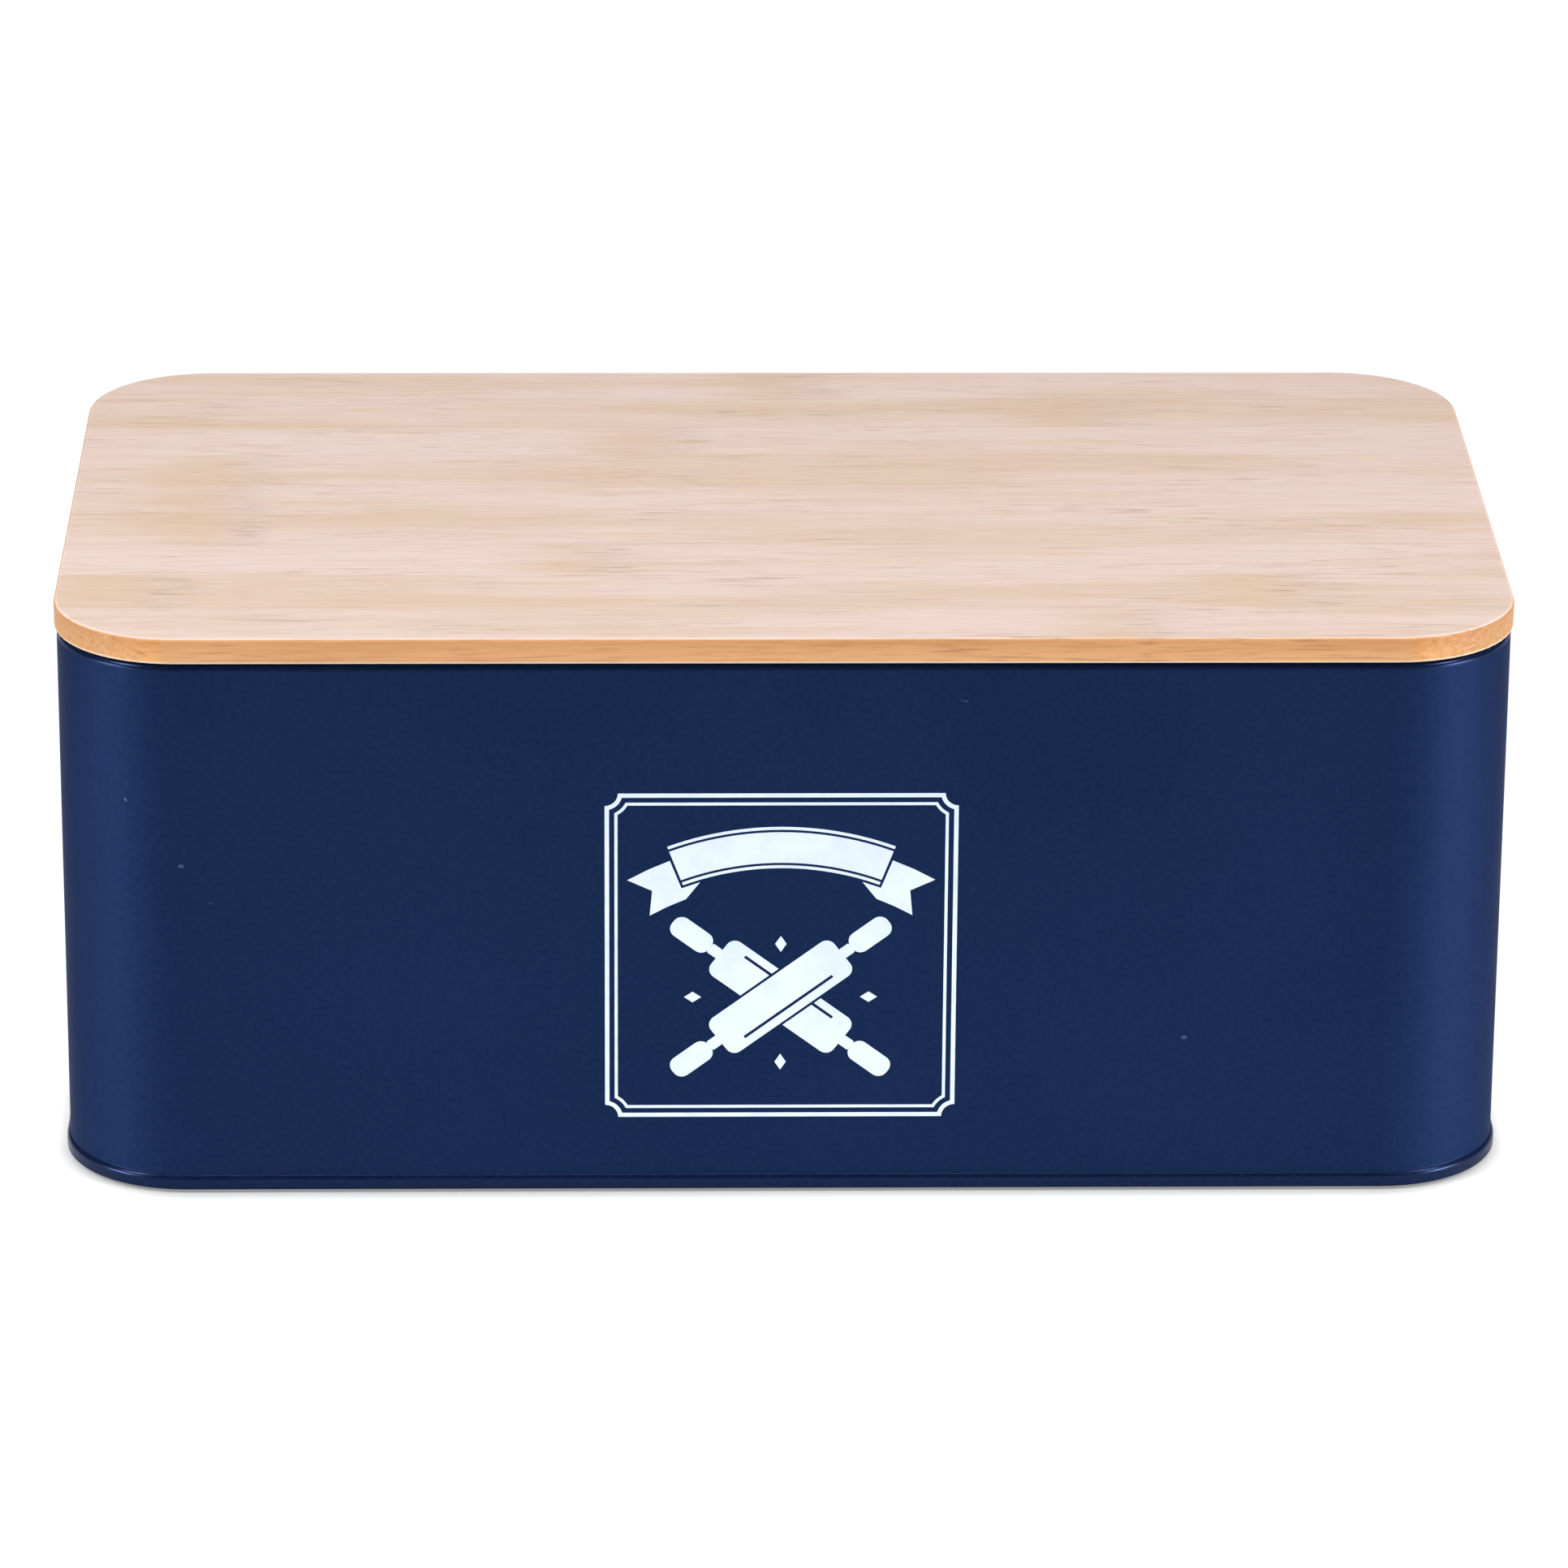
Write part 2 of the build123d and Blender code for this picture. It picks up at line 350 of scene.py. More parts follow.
@dataclass(frozen=True)
class Bamboo(Finish):
    """Sanded and oiled bamboo, as a solid of fibres that run along X.

    Flat faces show streaks and short dashes, the long edges are more golden, and cut ends are browner, with
    dots. Each knuckle of the cane crosses its slat as a ragged greyer band, full of dashes, with a yellower
    stretch before it.
    """

    name: str = "bamboo"
    low: Vector = field(default_factory=Vector)
    high: Vector = field(default_factory=Vector)
    knuckles: tuple[float, ...] = ()
    warmth: float = 0.5
    seed: int = 0
    pale: Colour = srgb(243, 219, 210)
    warm: Colour = srgb(232, 204, 180)
    light: Colour = srgb(249, 231, 222)
    streak: Colour = srgb(222, 190, 168)
    ring: Colour = srgb(226, 202, 190)
    dash: Colour = srgb(184, 150, 126)
    edge_pale: Colour = srgb(226, 171, 115)
    edge_deep: Colour = srgb(192, 127, 69)
    edge_dash: Colour = srgb(156, 94, 46)
    cut_tone: Colour = srgb(171, 130, 92)
    cut_dot: Colour = srgb(168, 102, 58)
    arris_highlight: Colour = srgb(246, 222, 190)
    gloss: float = 0.3
    seed_step: tuple[float, float, float] = (3.7, 11.3, 5.1)
    ragged_scale: tuple[float, float, float] = (0, 1300, 900)
    grain_scale: tuple[float, float, float] = (62, 1100, 950)
    fibre_scale: tuple[float, float, float] = (13, 430, 380)
    dash_scale: tuple[float, float, float] = (75, 1700, 1500)
    patch_scale: tuple[float, float, float] = (9, 80, 70)
    swarm_scale: tuple[float, float, float] = (22, 110, 90)
    dot_scale: tuple[float, float, float] = (420, 1300, 1200)
    ragged_reach: float = 8 * MM
    yellow_rise: tuple[float, float] = (-30 * MM, -3 * MM)
    ring_edge: float = 2 * MM
    ring_fall: tuple[float, float] = (6 * MM, 13 * MM)
    arris_fall: tuple[float, float] = (0.25 * MM, 0.8 * MM)
    glue_fall: tuple[float, float] = (0.02 * MM, 0.30 * MM)
    grain_height: float = 0.10 * MM

    def bands(self, sheet: NodeSheet, along: Socket, ragged: Socket) -> tuple[Socket, Socket]:
        """The bands that the slat's knuckles make.

        Args:
            sheet: The tree that the nodes go into.
            along: The place along the slat.
            ragged: How far each fibre's knuckle is from the slat's.

        Returns:
            The shares of the yellow stretch before the knuckles, and of the grey band after them.
        """
        before, after = [], []
        for knuckle in self.knuckles:
            past = sheet.math("SUBTRACT", sheet.math("SUBTRACT", along, knuckle), ragged)
            rise = sheet.span(past, *self.yellow_rise)
            fall = sheet.span(past, -self.ring_edge, self.ring_edge, 1.0, 0.0)
            before.append(sheet.math("MULTIPLY", rise, fall))
            rise = sheet.span(past, -self.ring_edge, self.ring_edge)
            fall = sheet.span(past, *self.ring_fall, 1.0, 0.0)
            after.append(sheet.math("MULTIPLY", rise, fall))
        return self.highest(sheet, before), self.highest(sheet, after)

    @staticmethod
    def highest(sheet: NodeSheet, shares: list[Socket]) -> Socket:
        """The highest of several shares at each point.

        Args:
            sheet: The tree that the nodes go into.
            shares: The shares to compare.

        Returns:
            The highest share.
        """
        top = shares[0]
        for share in shares[1:]:
            top = sheet.math("MAXIMUM", top, share)
        return top

    def material(self) -> bpy.types.Material:
        """Makes the bamboo of one slat.

        Returns:
            The new material.
        """
        sheet = NodeSheet(self.name)
        place = sheet.place()
        shift = tuple(self.seed * step for step in self.seed_step)
        along, across, up = (sheet.axis(place, letter) for letter in "XYZ")
        ragged = sheet.noise(sheet.stretch(place, self.ragged_scale, shift))
        ragged = sheet.span(ragged, 0.2, 0.8, -self.ragged_reach, self.ragged_reach)
        before, after = self.bands(sheet, along, ragged)

        grain = sheet.noise(sheet.stretch(place, self.grain_scale, shift), detail=3, roughness=0.62)
        fibres = sheet.noise(sheet.stretch(place, self.fibre_scale, shift), detail=4, roughness=0.62)
        dashes = sheet.noise(sheet.stretch(place, self.dash_scale, shift), detail=1)
        patches = sheet.noise(sheet.stretch(place, self.patch_scale), detail=2)
        swarm = sheet.noise(sheet.stretch(place, self.swarm_scale, shift), detail=1)
        dark = sheet.span(grain, 0.50, 0.76)
        clear = sheet.span(grain, 0.28, 0.48, 1.0, 0.0)
        tan = sheet.span(fibres, 0.48, 0.72)
        crowd = sheet.math("MAXIMUM", sheet.span(swarm, 0.45, 0.70, 0.10, 0.85), after)
        marks = sheet.math("MULTIPLY", sheet.span(dashes, 0.56, 0.68), crowd)

        tint = sheet.math("ADD", sheet.span(patches, 0.3, 0.7, -0.35, 0.35), self.warmth)
        tint = sheet.math("ADD", tint, sheet.math("MULTIPLY", before, 0.65))
        tint = sheet.math("ADD", tint, sheet.math("MULTIPLY", tan, 0.45))
        face = sheet.mix(sheet.span(tint, 0.0, 1.3), self.pale, self.warm)
        face = sheet.mix(sheet.math("MULTIPLY", dark, 0.60), face, self.streak)
        face = sheet.mix(sheet.math("MULTIPLY", clear, 0.45), face, self.light)
        face = sheet.mix(sheet.math("MULTIPLY", after, 0.40), face, self.ring)
        face = sheet.mix(sheet.math("MULTIPLY", marks, 0.60), face, self.dash)

        rise = sheet.span(up, self.low.z, self.high.z, 0.10, 0.55)
        depth = sheet.math("ADD", rise, sheet.math("MULTIPLY", tan, 0.3))
        edge = sheet.mix(depth, self.edge_pale, self.edge_deep)
        edge = sheet.mix(sheet.math("MULTIPLY", dark, 0.75), edge, self.edge_deep)
        edge = sheet.mix(sheet.math("MULTIPLY", clear, 0.45), edge, self.edge_pale)
        lines = sheet.math("MULTIPLY", sheet.span(dashes, 0.52, 0.68), sheet.math("ADD", crowd, 0.25))
        edge = sheet.mix(sheet.math("MULTIPLY", lines, 0.60), edge, self.edge_dash)
        facing = sheet.facing()
        sideways = sheet.math("ABSOLUTE", sheet.axis(facing, "X"))
        edge = sheet.mix(sheet.span(sideways, 0.2, 0.9, 0.0, 0.68), edge, self.cut_tone)
        cut = sheet.span(sideways, 0.2, 0.6)
        dots = sheet.noise(sheet.stretch(place, self.dot_scale, shift), detail=2)
        speckle = sheet.math("MULTIPLY", sheet.span(dots, 0.48, 0.68, 0.0, 0.38), cut)
        edge = sheet.mix(speckle, edge, self.cut_dot)
        # painted highlight: a pale line along the slat's lower arris, fading within a millimetre of it
        lower_arris_highlight = sheet.span(sheet.math("SUBTRACT", up, self.low.z), *self.arris_fall, 0.95, 0.0)
        edge = sheet.mix(lower_arris_highlight, edge, self.arris_highlight)

        level = sheet.math("ABSOLUTE", sheet.axis(facing, "Z"))
        colour = sheet.mix(sheet.span(level, 0.55, 0.97), edge, face)
        front = sheet.math("SUBTRACT", across, self.low.y)
        back = sheet.math("SUBTRACT", self.high.y, across)
        glue = sheet.span(sheet.math("MINIMUM", front, back), *self.glue_fall, 0.24, 0.0)
        colour = sheet.mix(glue, colour, self.dash)
        height = sheet.math("SUBTRACT", grain, sheet.math("MULTIPLY", marks, 0.5))
        return sheet.surface(
            {
                "Base Color": colour,
                "Roughness": sheet.span(grain, 0.3, 0.7, 0.44, 0.58),
                "Specular IOR Level": self.gloss,
                "Normal": sheet.bump(height, self.grain_height, 0.35),
            }
        )


@dataclass(frozen=True)
class StudioWhite(Finish):
    """White floor that takes the object's shadow, and lies white round it for whatever looks or mirrors.

    It glows a little where the lamps reach it less, so that it is white all round: less where the lamps are
    brightest, and most far away. Right at the object's foot the glow is held low, which paints a contact
    shadow on top of the real one. Beside the object it is raised, which paints light over the object's own
    shade. From below it is clear, like a glass table.
    """

    name: str = "studio_white"
    paint: Colour = srgb(188, 188, 188)
    # the outline that the painted contact shadow follows, narrower than the box along X so that it fades at
    # the sides
    half: tuple[float, float] = (0.1635, 0.0958)
    corner: float = 0.0288
    foot_shadow_glow: float = 0.20
    side_glow: float = 0.78
    lit_glow: float = 0.66
    far_glow: float = 1.0
    foot_shadow_reach: tuple[float, float] = (-0.8 * MM, 7.3 * MM)
    lit_reach: tuple[float, float] = (8 * MM, 50 * MM)
    far_reach: tuple[float, float] = (0.15, 0.95)

    def from_foot(self, sheet: NodeSheet, place: Socket) -> Socket:
        """How far a point of the floor is from the object's outline, a rectangle with round corners.

        Args:
            sheet: The tree that the nodes go into.
            place: The point of the floor.

        Returns:
            The distance, which is less than nothing under the object.
        """
        core = (self.half[0] - self.corner, self.half[1] - self.corner, 0)
        folded = sheet.add("VectorMath", {0: place}, operation="ABSOLUTE").outputs[0]
        past = sheet.add("VectorMath", {0: folded, 1: core}, operation="SUBTRACT").outputs[0]
        outside = sheet.add("VectorMath", {0: past, 1: (0, 0, 0)}, operation="MAXIMUM").outputs[0]
        length = sheet.add("VectorMath", {0: outside}, operation="LENGTH").outputs["Value"]
        return sheet.math("SUBTRACT", length, self.corner)

    def material(self) -> bpy.types.Material:
        """Makes the floor's paint.

        Returns:
            The new material.
        """
        sheet = NodeSheet(self.name)
        place = sheet.place()
        away = self.from_foot(sheet, place)
        # painted shadow: the glow is least at the foot and rises outwards, a contact shadow painted round
        # the outline; beside the object it paints light over the object's own shade
        strength = sheet.span(away, *self.foot_shadow_reach, self.foot_shadow_glow, self.side_glow)
        lit_change = sheet.span(away, *self.lit_reach, 0.0, self.lit_glow - self.side_glow)
        strength = sheet.math("ADD", strength, lit_change)
        far_change = sheet.span(away, *self.far_reach, 0.0, self.far_glow - self.lit_glow)
        strength = sheet.math("ADD", strength, far_change)
        paint = sheet.add("BsdfDiffuse", {"Color": self.paint}).outputs[0]
        glow = sheet.add("Emission", {"Strength": strength}).outputs[0]
        lit = sheet.add("AddShader", {0: paint, 1: glow}).outputs[0]
        rays = sheet.add("LightPath", {}).outputs
        seen = sheet.math("MAXIMUM", rays["Is Camera Ray"], rays["Is Glossy Ray"])
        seen = sheet.math("MAXIMUM", seen, rays["Is Transmission Ray"])
        above = sheet.add("MixShader", {0: seen, 1: paint, 2: lit}).outputs[0]
        clear = sheet.add("BsdfTransparent", {}).outputs[0]
        below = sheet.add("NewGeometry", {}).outputs["Backfacing"]
        both = sheet.add("MixShader", {0: below, 1: above, 2: clear}).outputs[0]
        sheet.add("OutputMaterial", {"Surface": both})
        return sheet.material


@dataclass
class MetalBox:
    """The coated box: its wall, its base and the pads under it."""

    sheets: tuple[str, ...] = ("wall_sheet", "base_panel")
    coat: NavyCoat = NavyCoat()
    silicone: PadSilicone = PadSilicone()

    def dress(self) -> None:
        """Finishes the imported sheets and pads."""
        for node in self.sheets:
            self.coat.dress(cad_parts[node])
            log.info("%s: %s", node, self.coat.name)
        for node in sorted(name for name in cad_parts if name.startswith("pad_")):
            self.silicone.dress(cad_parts[node])
            log.info("%s: %s", node, self.silicone.name)


@dataclass
class BambooLid:
    """The lid's two plies of glued slats, each slat from another cane.

    The slats count from the front. Knuckles are places along X, and warmth runs from 0, pale, to 1, yellow.
    """

    upper_knuckles: tuple[tuple[float, ...], ...] = (
        (78 * MM,),
        (-145 * MM, 115 * MM),
        (-43 * MM,),
        (-128 * MM,),
        (-128 * MM,),
        (-128 * MM,),
        (-27 * MM,),
        (78 * MM,),
        (4 * MM,),
    )
    upper_warmth: tuple[float, ...] = (0.36, 0.50, 0.26, 0.52, 0.44, 0.58, 0.30, 0.74, 0.42)
    plug_knuckles: tuple[float, ...] = (
        40 * MM, -95 * MM, 120 * MM, -20 * MM, 66 * MM, -130 * MM, 12 * MM, -60 * MM
    )
    plug_warmth: float = 0.7
    plug_seed: int = 20

    def slat(self, node: str, knuckles: tuple[float, ...], warmth: float, seed: int) -> None:
        """Finishes one slat.

        Args:
            node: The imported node's name.
            knuckles: The places of its knuckles along X.
            warmth: Its tone.
            seed: The number that sets its fibres apart from its neighbours'.
        """
        low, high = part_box(node)
        finish = Bamboo(node + "_bamboo", low, high, knuckles, warmth, seed)
        finish.dress(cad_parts[node])
        log.info("%s: %s", node, finish.name)

    def dress(self) -> None:
        """Finishes every slat of both plies."""
        for place, (knuckles, warmth) in enumerate(zip(self.upper_knuckles, self.upper_warmth), start=1):
            self.slat(f"lid_upper_slat_{place}", knuckles, warmth, place)
        for place, knuckle in enumerate(self.plug_knuckles, start=1):
            self.slat(f"lid_plug_slat_{place}", (knuckle,), self.plug_warmth, self.plug_seed + place)


@dataclass
class FrontPrint:
    """The pale print on the front wall: a double-line plaque with notched corners round a baker's device.

    Its shapes are drawn flat, in X and Y about the plaque's middle, and then stood on the wall.
    """

    middle_x: float = -1.1 * MM
    middle_z: float = 58.1 * MM
    width: float = 79.8 * MM
    height: float = 79.2 * MM
    notch: float = 3.0 * MM
    outer_line: float = 1.0 * MM
    line_gap: float = 1.2 * MM
    inner_line: float = 0.7 * MM
    film: float = 0.04 * MM
    lid_overhang: float = 0.5 * MM
    arc_steps: int = 10
    pin_tilt: float = math.radians(37)
    pins_middle: float = -10.0 * MM
    pin_gap: float = 0.6 * MM
    roller: tuple[float, float] = (35.0 * MM, 10.4 * MM)
    roller_round: float = 2.2 * MM
    roller_slot: tuple[float, float] = (25.0 * MM, 0.7 * MM)
    slot_drop: float = 3.0 * MM
    neck: tuple[float, float] = (2.6 * MM, 2.6 * MM)
    neck_round: float = 0.3 * MM
    grip: tuple[float, float] = (10.5 * MM, 5.2 * MM)
    grip_round: float = 2.2 * MM
    ribbon_radius: float = 62.0 * MM
    ribbon_breadth: float = 10.0 * MM
    ribbon_reach: float = math.radians(21)
    ribbon_border: float = 0.7 * MM
    ribbon_bare: float = 0.6 * MM
    ribbon_top: float = 31.5 * MM
    tail_drop: float = 3.4 * MM
    tail_reach: float = math.radians(9.5)
    tail_notch: float = math.radians(3.2)
    fold_reach: float = math.radians(3.6)
    bow_steps: int = 24
    diamond: float = 2.6 * MM
    diamond_stretch: float = 1.5
    diamond_places: tuple[float, ...] = (20.0 * MM, 13.0 * MM, 20.0 * MM, 16.0 * MM)
    ink: PrintInk = PrintInk()

    def stand(self, name: str, flat: bmesh.types.BMesh) -> None:
        """Gives a flat shape the ink's thickness, stands it on the front wall and finishes it.

        Args:
            name: The piece's name.
            flat: The shape, which this uses up.
        """
        bmesh.ops.recalc_face_normals(flat, faces=flat.faces)
        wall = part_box("lid_upper_slat_1")[0].y + self.lid_overhang
        grown = bmesh.ops.extrude_face_region(flat, geom=list(flat.faces), use_keep_orig=True)
        lifted = [item for item in grown["geom"] if isinstance(item, bmesh.types.BMVert)]
        bmesh.ops.translate(flat, verts=lifted, vec=(0, 0, self.film))
        bmesh.ops.recalc_face_normals(flat, faces=flat.faces)
        place = Matrix.Translation((self.middle_x, wall, self.middle_z))
        upright = place @ Matrix.Rotation(math.pi / 2, 4, "X")
        bmesh.ops.transform(flat, matrix=upright, verts=flat.verts)
        mesh = bpy.data.meshes.new(name)
        flat.to_mesh(mesh)
        flat.free()
        piece = bpy.data.objects.new(name, mesh)
        bpy.context.scene.collection.objects.link(piece)
        self.ink.dress(piece)
        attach(piece, Body.BOX.value)
        log.info("%s: %d faces", name, len(mesh.polygons))

    def outline(self, flat: bmesh.types.BMesh, inset: float) -> list[bmesh.types.BMEdge]:
        """Draws one closed outline of the plaque, with a round bite about each of the plaque's corners.

        Args:
            flat: The shape that it is added to.
            inset: How far it lies inside the plaque's outermost outline.

        Returns:
            The outline's edges.
        """
        radius = self.notch + inset
        lag = math.asin(inset / radius)
        arcs = []
        for side_x, side_y in ((1, 1), (-1, 1), (-1, -1), (1, -1)):
            corner = Vector((side_x * self.width / 2, side_y * self.height / 2, 0))
            start = flat.verts.new(corner - Vector((side_x * radius * math.cos(lag), side_y * inset, 0)))
            way = side_x * side_y
            bmesh.ops.spin(
                flat,
                geom=[start],
                cent=corner,
                axis=(0, 0, 1),
                angle=way * (math.pi / 2 - 2 * lag),
                steps=self.arc_steps,
            )
            arc = list(flat.verts)[-self.arc_steps - 1:]
            arcs.append(arc if way < 0 else arc[::-1])
        points = [point for arc in arcs for point in arc]
        for arc, following in zip(arcs, arcs[1:] + arcs[:1]):
            flat.edges.new((arc[-1], following[0]))
        pairs = zip(points, points[1:] + points[:1])
        return [flat.edges.get(pair) for pair in pairs]

    def plaque(self) -> None:
        """Draws the plaque's thick outer line and its thin inner line."""
        flat = bmesh.new()
        inner = self.outer_line + self.line_gap
        for start, end in ((0, self.outer_line), (inner, inner + self.inner_line)):
            edges = self.outline(flat, start) + self.outline(flat, end)
            bmesh.ops.bridge_loops(flat, edges=edges)
        self.stand("print_plaque", flat)

    @staticmethod
    def block(flat: bmesh.types.BMesh, size: tuple[float, float], middle: Vector, rounding: float) -> None:
        """Adds a flat block with rounded corners.

        Args:
            flat: The shape that it is added to.
            size: Its length along X and its width.
            middle: Its middle.
            rounding: Its corners' radius.
        """
        made = bmesh.ops.create_grid(flat, x_segments=1, y_segments=1, size=0.5)["verts"]
        bmesh.ops.scale(flat, verts=made, vec=(*size, 1))
        bmesh.ops.translate(flat, verts=made, vec=middle)
        bmesh.ops.bevel(
            flat,
            geom=made,
            offset=rounding,
            affect="VERTICES",
            segments=ROUND_STEPS,
            profile=0.5,
            material=-1,
        )

    def slot(self, flat: bmesh.types.BMesh, size: tuple[float, float], middle: Vector) -> None:
        """Leaves a straight bare slot in what is drawn so far.

        Args:
            flat: The shape that is cut.
            size: The slot's length along X and its width.
            middle: Its middle.
        """
        half = Vector((size[0] / 2, size[1] / 2, 0))
        for way in (Vector((1, 0, 0)), Vector((0, 1, 0))):
            for side in (-1, 1):
                edge = middle + way * side * half.dot(way)
                everything = [*flat.verts, *flat.edges, *flat.faces]
                bmesh.ops.bisect_plane(flat, geom=everything, plane_co=edge, plane_no=way)
        bare = []
        for face in flat.faces:
            away = face.calc_center_median() - middle
            if abs(away.x) < half.x and abs(away.y) < half.y:
                bare.append(face)
        bmesh.ops.delete(flat, geom=bare, context="FACES")

    def rolling_pin(self) -> bmesh.types.BMesh:
        """Draws one rolling pin along X: a roller with a bare line, and a neck and a grip at each end.

        Returns:
            The flat shape, about its own middle.
        """
        flat = bmesh.new()
        length = self.roller[0]
        self.block(flat, self.roller, Vector((0, 0, 0)), self.roller_round)
        self.slot(flat, self.roller_slot, Vector((0, -self.slot_drop, 0)))
        for side in (-1, 1):
            self.block(flat, self.neck, Vector((side * (length + self.neck[0]) / 2, 0, 0)), self.neck_round)
            reach = length / 2 + self.neck[0] + self.grip[0] / 2
            self.block(flat, self.grip, Vector((side * reach, 0, 0)), self.grip_round)
        return flat

    @staticmethod
    def join(flat: bmesh.types.BMesh, part: bmesh.types.BMesh) -> None:
        """Adds one flat shape to another.

        Args:
            flat: The shape that it is added to.
            part: The shape to add, which this uses up.
        """
        passing = bpy.data.meshes.new("passing")
        part.to_mesh(passing)
        part.free()
        flat.from_mesh(passing)
        bpy.data.meshes.remove(passing)

    @staticmethod
    def turn(flat: bmesh.types.BMesh, angle: float) -> None:
        """Turns a flat shape about its middle."""
        bmesh.ops.rotate(flat, verts=flat.verts, cent=(0, 0, 0), matrix=Matrix.Rotation(angle, 3, "Z"))

    def rolling_pins(self) -> None:
        """Draws two crossed rolling pins, the one behind cut away beside the one in front."""
        flat = self.rolling_pin()
        self.turn(flat, self.pin_tilt)
        across = Vector((-math.sin(self.pin_tilt), math.cos(self.pin_tilt), 0))
        for side in (-1, 1):
            half = self.rolling_pin()
            self.turn(half, math.pi - self.pin_tilt)
            bmesh.ops.bisect_plane(
                half,
                geom=[*half.verts, *half.edges, *half.faces],
                plane_co=across * side * (self.roller[1] / 2 + self.pin_gap),
                plane_no=across * side,
                clear_inner=True,
            )
            self.join(flat, half)
        bmesh.ops.translate(flat, verts=flat.verts, vec=(0, self.pins_middle, 0))
        self.stand("print_rolling_pins", flat)

    @staticmethod
    def bow(flat: bmesh.types.BMesh, radii: Sequence[float], start: float, end: float, steps: int) -> None:
        """Adds a band bowed about the ribbon's own centre.

        Args:
            flat: The shape that it is added to.
            radii: Its inner and outer radius, and any between them that need a row of points.
            start: The angle that it starts at, from straight up, clockwise.
            end: The angle that it ends at.
            steps: How many steps the bow is made in.
        """
        made = [flat.verts.new((0, radius, 0)) for radius in radii]
        edges = [flat.edges.new(pair) for pair in zip(made, made[1:])]
        bmesh.ops.rotate(flat, verts=made, cent=(0, 0, 0), matrix=Matrix.Rotation(-start, 3, "Z"))
        bmesh.ops.spin(
            flat,
            geom=[*made, *edges],
            cent=(0, 0, 0),
            axis=(0, 0, 1),
            angle=start - end,
            steps=steps,
        )

    def ribbon_band(self) -> None:
        """Draws a bare ribbon: a bowed band with lined sides, and a notched tail behind each end."""
        flat = bmesh.new()
        breadth = self.ribbon_breadth
        inner, outer = self.ribbon_radius, self.ribbon_radius + breadth
        reach = self.ribbon_reach
        border, bare = self.ribbon_border, self.ribbon_bare
        for radii in (
            (inner, inner + border),
            (inner + border + bare, outer - border - bare),
            (outer - border, outer),
        ):
            self.bow(flat, radii, -reach, reach, self.bow_steps)
        seam = self.pin_gap / inner
        for side in (-1, 1):
            tail = bmesh.new()
            low = inner - self.tail_drop
            radii = (low, low + breadth / 2, low + breadth)
            self.bow(tail, radii, reach + seam, reach + self.tail_reach, 2)
            end = sorted(tail.verts, key=lambda point: math.atan2(point.co.x, point.co.y))[-3:]
            notch = sorted(end, key=lambda point: point.co.length)[1]
            inward = Matrix.Rotation(self.tail_notch, 3, "Z")
            bmesh.ops.rotate(tail, verts=[notch], cent=(0, 0, 0), matrix=inward)
            fold = [
                tail.verts.new(Matrix.Rotation(-angle, 3, "Z") @ Vector((0, radius, 0)))
                for angle, radius in (
                    (reach + seam, low),
                    (reach + seam, inner - self.pin_gap),
                    (reach - self.fold_reach, inner - self.pin_gap),
                )
            ]
            tail.faces.new(fold)
            if side < 0:
                bmesh.ops.scale(tail, verts=tail.verts, vec=(-1, 1, 1))
            self.join(flat, tail)
        bmesh.ops.translate(flat, verts=flat.verts, vec=(0, self.ribbon_top - outer, 0))
        self.stand("print_ribbon", flat)

    def diamonds(self) -> None:
        """Draws a small diamond in each of the four spaces between the rolling pins."""
        flat = bmesh.new()
        for way, away in zip(range(4), self.diamond_places):
            ring = bmesh.ops.create_circle(flat, cap_ends=True, segments=4, radius=self.diamond / 2)
            made = ring["verts"]
            stretch = (1, self.diamond_stretch, 1) if way % 2 else (self.diamond_stretch, 1, 1)
            bmesh.ops.scale(flat, verts=made, vec=stretch)
            place = Matrix.Rotation(way * math.pi / 2, 3, "Z") @ Vector((away, 0, 0))
            bmesh.ops.translate(flat, verts=made, vec=place + Vector((0, self.pins_middle, 0)))
        self.stand("print_diamonds", flat)

    def build(self) -> None:
        """Builds every piece of the print."""
        self.plaque()
        self.rolling_pins()
        self.ribbon_band()
        self.diamonds()


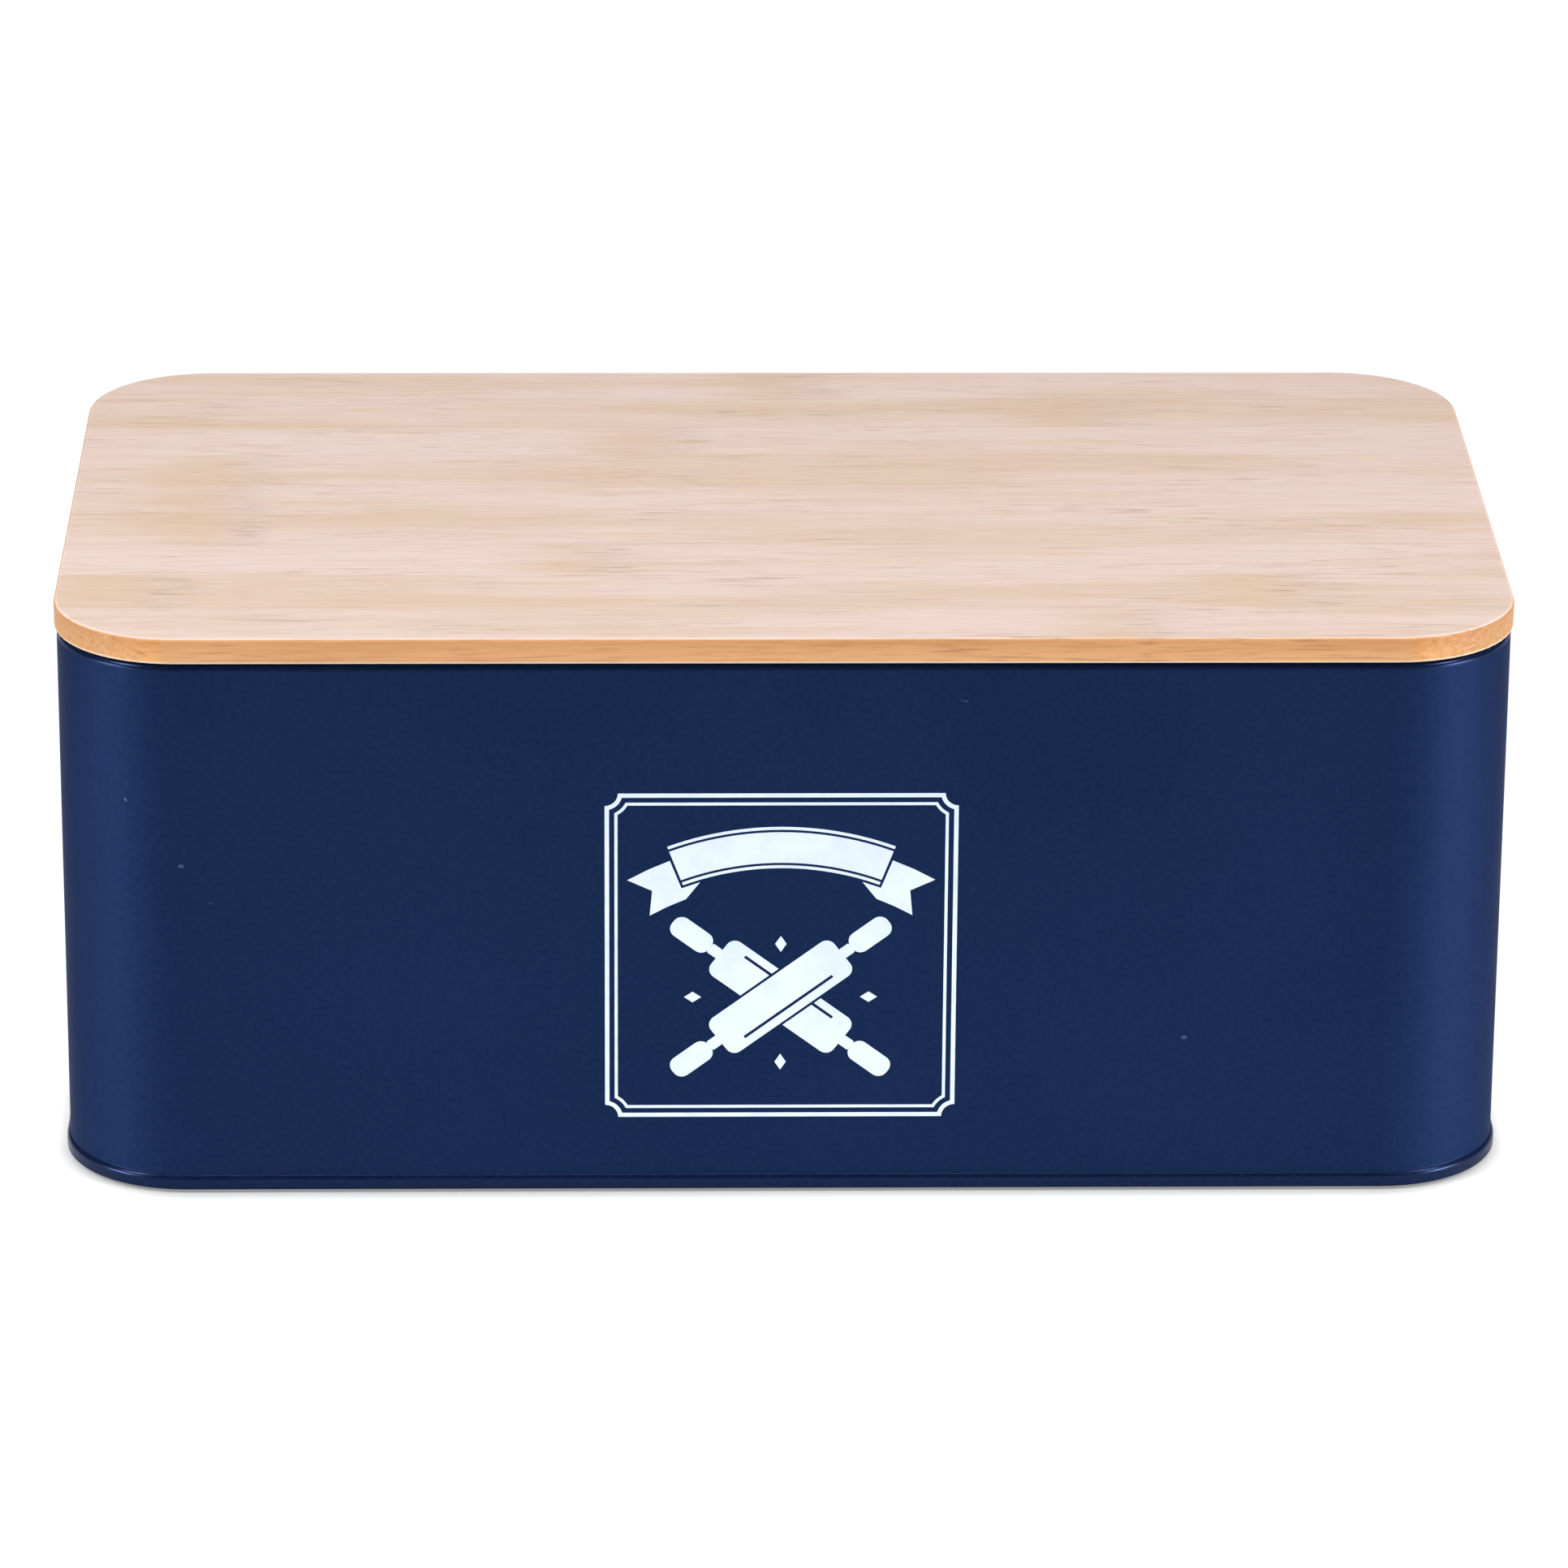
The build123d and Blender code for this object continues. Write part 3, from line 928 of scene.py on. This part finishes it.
@dataclass
class Studio:
    """A white floor, soft lamps on both sides and above, and the photograph's camera."""

    eye: Vector = field(default_factory=lambda: Vector((-39.8, -1762.0, 743.7)) * MM)
    focal_pixels: float = 9791.4
    yaw: float = math.radians(1.346)
    pitch: float = math.radians(21.11)
    roll: float = math.radians(0.387)
    floor_size: float = 12.0
    sky: float = 0.12
    wide: float = math.radians(180)
    beam: float = math.radians(36)
    low_powers: tuple[float, float] = (0.50, 0.64)
    low_place: tuple[float, float, float] = (1.0, -0.52, 0.11)
    low_aim: tuple[float, float, float] = (0.12, -0.07, 0.0)
    low_size: tuple[float, float] = (0.45, 0.20)
    high_powers: tuple[float, float] = (5.8, 5.6)
    high_place: tuple[float, float, float] = (0.8, -0.46, 0.78)
    high_aim: tuple[float, float, float] = (0.0, 0.0, 0.07)
    high_size: tuple[float, float] = (0.22, 0.26)
    top_power: float = 1.75
    top_place: tuple[float, float, float] = (-0.06, 0.0, 2.6)
    top_aim: tuple[float, float, float] = (-0.06, 0.0, 0.0)
    top_size: tuple[float, float] = (1.2, 1.2)
    paint: StudioWhite = StudioWhite()

    def camera(self) -> None:
        """Sets the camera where the photograph was taken from."""
        ahead = Vector(
            (
                math.sin(self.yaw) * math.cos(self.pitch),
                math.cos(self.yaw) * math.cos(self.pitch),
                -math.sin(self.pitch),
            )
        )
        level = Vector((math.cos(self.yaw), -math.sin(self.yaw), 0))
        above = level.cross(ahead)
        right = math.cos(self.roll) * level + math.sin(self.roll) * above
        upward = math.cos(self.roll) * above - math.sin(self.roll) * level
        lens = bpy.data.cameras.new("photo_camera")
        lens.sensor_width = SENSOR
        lens.lens = self.focal_pixels / PHOTO_SIZE * SENSOR
        holder = bpy.data.objects.new("photo_camera", lens)
        turned = Matrix((right, upward, -ahead)).transposed().to_4x4()
        holder.matrix_world = Matrix.Translation(self.eye) @ turned
        bpy.context.scene.collection.objects.link(holder)
        bpy.context.scene.camera = holder

    def floor(self) -> None:
        """Lays the white floor."""
        flat = bmesh.new()
        bmesh.ops.create_grid(flat, x_segments=1, y_segments=1, size=self.floor_size / 2)
        mesh = bpy.data.meshes.new("floor")
        flat.to_mesh(mesh)
        flat.free()
        ground = bpy.data.objects.new("floor", mesh)
        bpy.context.scene.collection.objects.link(ground)
        self.paint.dress(ground)

    def lamp(
        self, name: str, place: Vector, aim: Vector, size: tuple[float, float], spread: float, power: float
    ) -> None:
        """Hangs one soft lamp.

        Args:
            name: The lamp's name.
            place: Where it hangs.
            aim: The point that it is turned to.
            size: Its width and height.
            spread: The full angle of its beam.
            power: Its power in watts.
        """
        light = bpy.data.lights.new(name, "AREA")
        light.shape = "RECTANGLE"
        light.size, light.size_y = size
        light.energy = power
        light.spread = spread
        holder = bpy.data.objects.new(name, light)
        beam = aim - place
        holder.matrix_world = Matrix.Translation(place) @ beam.to_track_quat("-Z", "Y").to_matrix().to_4x4()
        bpy.context.scene.collection.objects.link(holder)

    def light(self) -> None:
        """Sets the lamps and the white surroundings."""
        for side, low_power, high_power in zip((-1, 1), self.low_powers, self.high_powers):
            mirror = Matrix.Diagonal((side, 1, 1))
            place, aim = mirror @ Vector(self.low_place), mirror @ Vector(self.low_aim)
            self.lamp(f"side_lamp_{side}", place, aim, self.low_size, self.beam, low_power)
            place, aim = mirror @ Vector(self.high_place), mirror @ Vector(self.high_aim)
            self.lamp(f"high_lamp_{side}", place, aim, self.high_size, self.wide, high_power)
        place, aim = Vector(self.top_place), Vector(self.top_aim)
        self.lamp("top_lamp", place, aim, self.top_size, self.beam, self.top_power)
        world = bpy.data.worlds.new("white_surroundings")
        world.use_nodes = True
        world.node_tree.nodes["Background"].inputs["Strength"].default_value = self.sky
        world.node_tree.nodes["Background"].inputs["Color"].default_value = (1, 1, 1, 1)
        bpy.context.scene.world = world

    def build(self) -> None:
        """Builds the studio."""
        self.camera()
        self.floor()
        self.light()
        bpy.context.scene.view_settings.view_transform = "Standard"
        log.info("studio built")


def main() -> None:
    """Builds the looks of the bread box, piece by piece, and then the studio."""
    logging.basicConfig(level=logging.INFO, format="%(message)s")
    MetalBox().dress()
    BambooLid().dress()
    FrontPrint().build()
    Studio().build()


if __name__ == "__main__":
    main()
